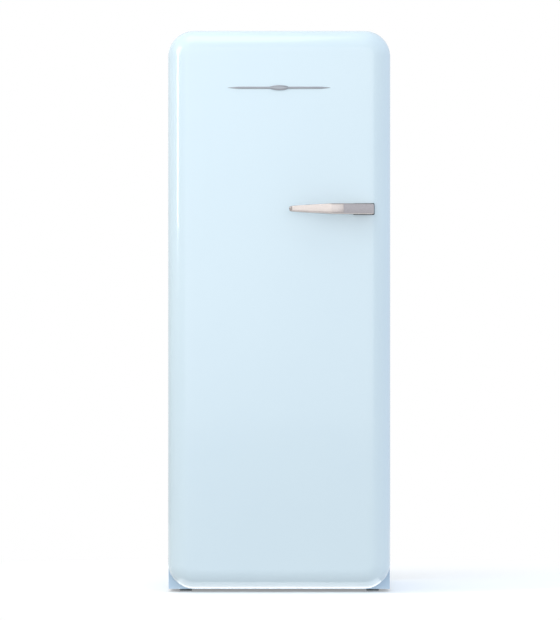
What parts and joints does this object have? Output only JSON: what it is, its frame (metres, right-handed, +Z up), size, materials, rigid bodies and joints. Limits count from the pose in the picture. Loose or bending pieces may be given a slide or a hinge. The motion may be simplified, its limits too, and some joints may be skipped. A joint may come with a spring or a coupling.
{
  "type": "single-door refrigerator with ice compartment",
  "caption": "Rounded free-standing refrigerator: insulated cabinet, swinging front door with a bent bar handle, inner ice box behind a flap, shelves, drawer and door bins.",
  "frame": {"origin": "floor level, under the middle of the whole object", "axes": "+Z up, -Y towards the front with the door, +X towards the handle's side"},
  "size_m": [0.601, 0.788, 1.521],
  "materials": {
    "body_paint": "gloss enamel, pastel blue",
    "foam": "rigid foam, cut surface",
    "liner": "satin white",
    "bushing": "natural",
    "clear_plastic": "clear",
    "shelf_glass": "clear, ground edges",
    "zinc_steel": "zinc plated",
    "black_steel": "black, semi-gloss",
    "iron": "machined",
    "black_plastic": "fine grain",
    "copper": "copper, dull",
    "rubber": "matt",
    "gasket": "soft vinyl, pale grey",
    "aluminium": "satin",
    "chrome": "polished and satin facets"
  },
  "bodies": {
    "cabinet": {"cabinet_shell": "body_paint", "cabinet_foam": "foam", "inner_liner": "liner", "back_panel": "zinc_steel", "base_plate": "zinc_steel", "drain_tube": "liner", "hinge_bracket_top": "zinc_steel", "hinge_bracket_bottom": "zinc_steel", "hinge_pin_top": "zinc_steel", "hinge_pin_bottom": "zinc_steel", "compressor_tray": "zinc_steel", "compressor_casing": "black_steel", "compressor_pump": "iron", "compressor_relay": "black_plastic", "evaporation_tray": "black_plastic", "discharge_pipe": "copper", "suction_pipe": "copper", "condenser_grid": "black_steel", "cord_gland": "black_plastic", "grommet_1": "rubber", "grommet_2": "rubber", "grommet_3": "rubber", "grommet_4": "rubber", "freezer_frame": "liner", "freezer_evaporator": "aluminium", "shelf_glass_upper": "shelf_glass", "shelf_glass_lower": "shelf_glass", "shelf_trim_upper": "liner", "shelf_trim_lower": "liner", "bottle_rack": "chrome", "crisper_cover": "shelf_glass", "air_duct_cover": "liner", "fan_motor": "black_plastic", "control_housing": "liner", "lamp_lens": "clear_plastic", "roller_axle_left": "zinc_steel", "roller_axle_right": "zinc_steel"},
    "door": {"door_skin": "body_paint", "door_foam": "foam", "door_liner": "liner", "door_gasket": "gasket", "door_handle": "chrome", "trim_badge": "chrome", "hinge_bush_top": "bushing", "hinge_bush_bottom": "bushing", "dairy_box": "clear_plastic"},
    "bottle_bin": {"bottle_bin": "clear_plastic", "bottle_rail": "chrome"},
    "middle_bin": {"middle_bin": "clear_plastic"},
    "upper_bin": {"upper_bin": "clear_plastic"},
    "dairy_lid": {"dairy_lid": "clear_plastic"},
    "freezer_flap": {"freezer_flap": "liner"},
    "crisper_drawer": {"crisper_drawer": "clear_plastic"},
    "thermostat_dial": {"thermostat_dial": "liner"},
    "fan_rotor": {"fan_rotor": "black_plastic"},
    "foot_left": {"foot_left": "zinc_steel"},
    "foot_right": {"foot_right": "zinc_steel"},
    "roller_left": {"roller_left": "black_plastic"},
    "roller_right": {"roller_right": "black_plastic"}
  },
  "joints": [
    {"name": "door_swing", "type": "hinge", "parent": "cabinet", "child": "door", "pos_m": [-0.2875, -0.25, 0.766], "axis": [0, 0, -1], "range_deg": [0, 110]},
    {"name": "freezer_flap_swing", "type": "hinge", "parent": "cabinet", "child": "freezer_flap", "pos_m": [-0.2247, -0.096, 1.34], "axis": [0, 0, -1], "range_deg": [0, 78]},
    {"name": "crisper_slide", "type": "slide", "parent": "cabinet", "child": "crisper_drawer", "axis": [0, -1, 0], "range_m": [0, 0.161]},
    {"name": "dairy_lid_swing", "type": "hinge", "parent": "door", "child": "dairy_lid", "pos_m": [0, -0.256, 1.3215], "axis": [1, 0, 0], "range_deg": [0, 60]},
    {"name": "bottle_bin_lift", "type": "slide", "parent": "door", "child": "bottle_bin", "axis": [0, 0, 1], "range_m": [0, 0.025]},
    {"name": "middle_bin_lift", "type": "slide", "parent": "door", "child": "middle_bin", "axis": [0, 0, 1], "range_m": [0, 0.025]},
    {"name": "upper_bin_lift", "type": "slide", "parent": "door", "child": "upper_bin", "axis": [0, 0, 1], "range_m": [0, 0.025]},
    {"name": "dial_turn", "type": "hinge", "parent": "cabinet", "child": "thermostat_dial", "pos_m": [0.2217, -0.048, 1.1437], "axis": [1, 0, 0], "range_deg": [0, 270]},
    {"name": "fan_spin", "type": "hinge", "parent": "cabinet", "child": "fan_rotor", "pos_m": [0, 0.284, 1.1477], "axis": [0, 1, 0], "continuous": true},
    {"name": "foot_left_adjust", "type": "slide", "parent": "cabinet", "child": "foot_left", "axis": [0, 0, -1], "range_m": [0, 0.015]},
    {"name": "foot_right_adjust", "type": "slide", "parent": "cabinet", "child": "foot_right", "axis": [0, 0, -1], "range_m": [0, 0.015]},
    {"name": "roller_left_spin", "type": "hinge", "parent": "cabinet", "child": "roller_left", "pos_m": [-0.2705, 0.334, 0.0095], "axis": [1, 0, 0], "continuous": true},
    {"name": "roller_right_spin", "type": "hinge", "parent": "cabinet", "child": "roller_right", "pos_m": [0.2705, 0.334, 0.0095], "axis": [1, 0, 0], "continuous": true}
  ],
  "couplings": [
    {"joint": "freezer_flap_swing", "follows": "door_swing", "ratio": 0.7},
    {"joint": "crisper_slide", "follows": "door_swing", "m_per_rad": 0.0833}
  ]
}
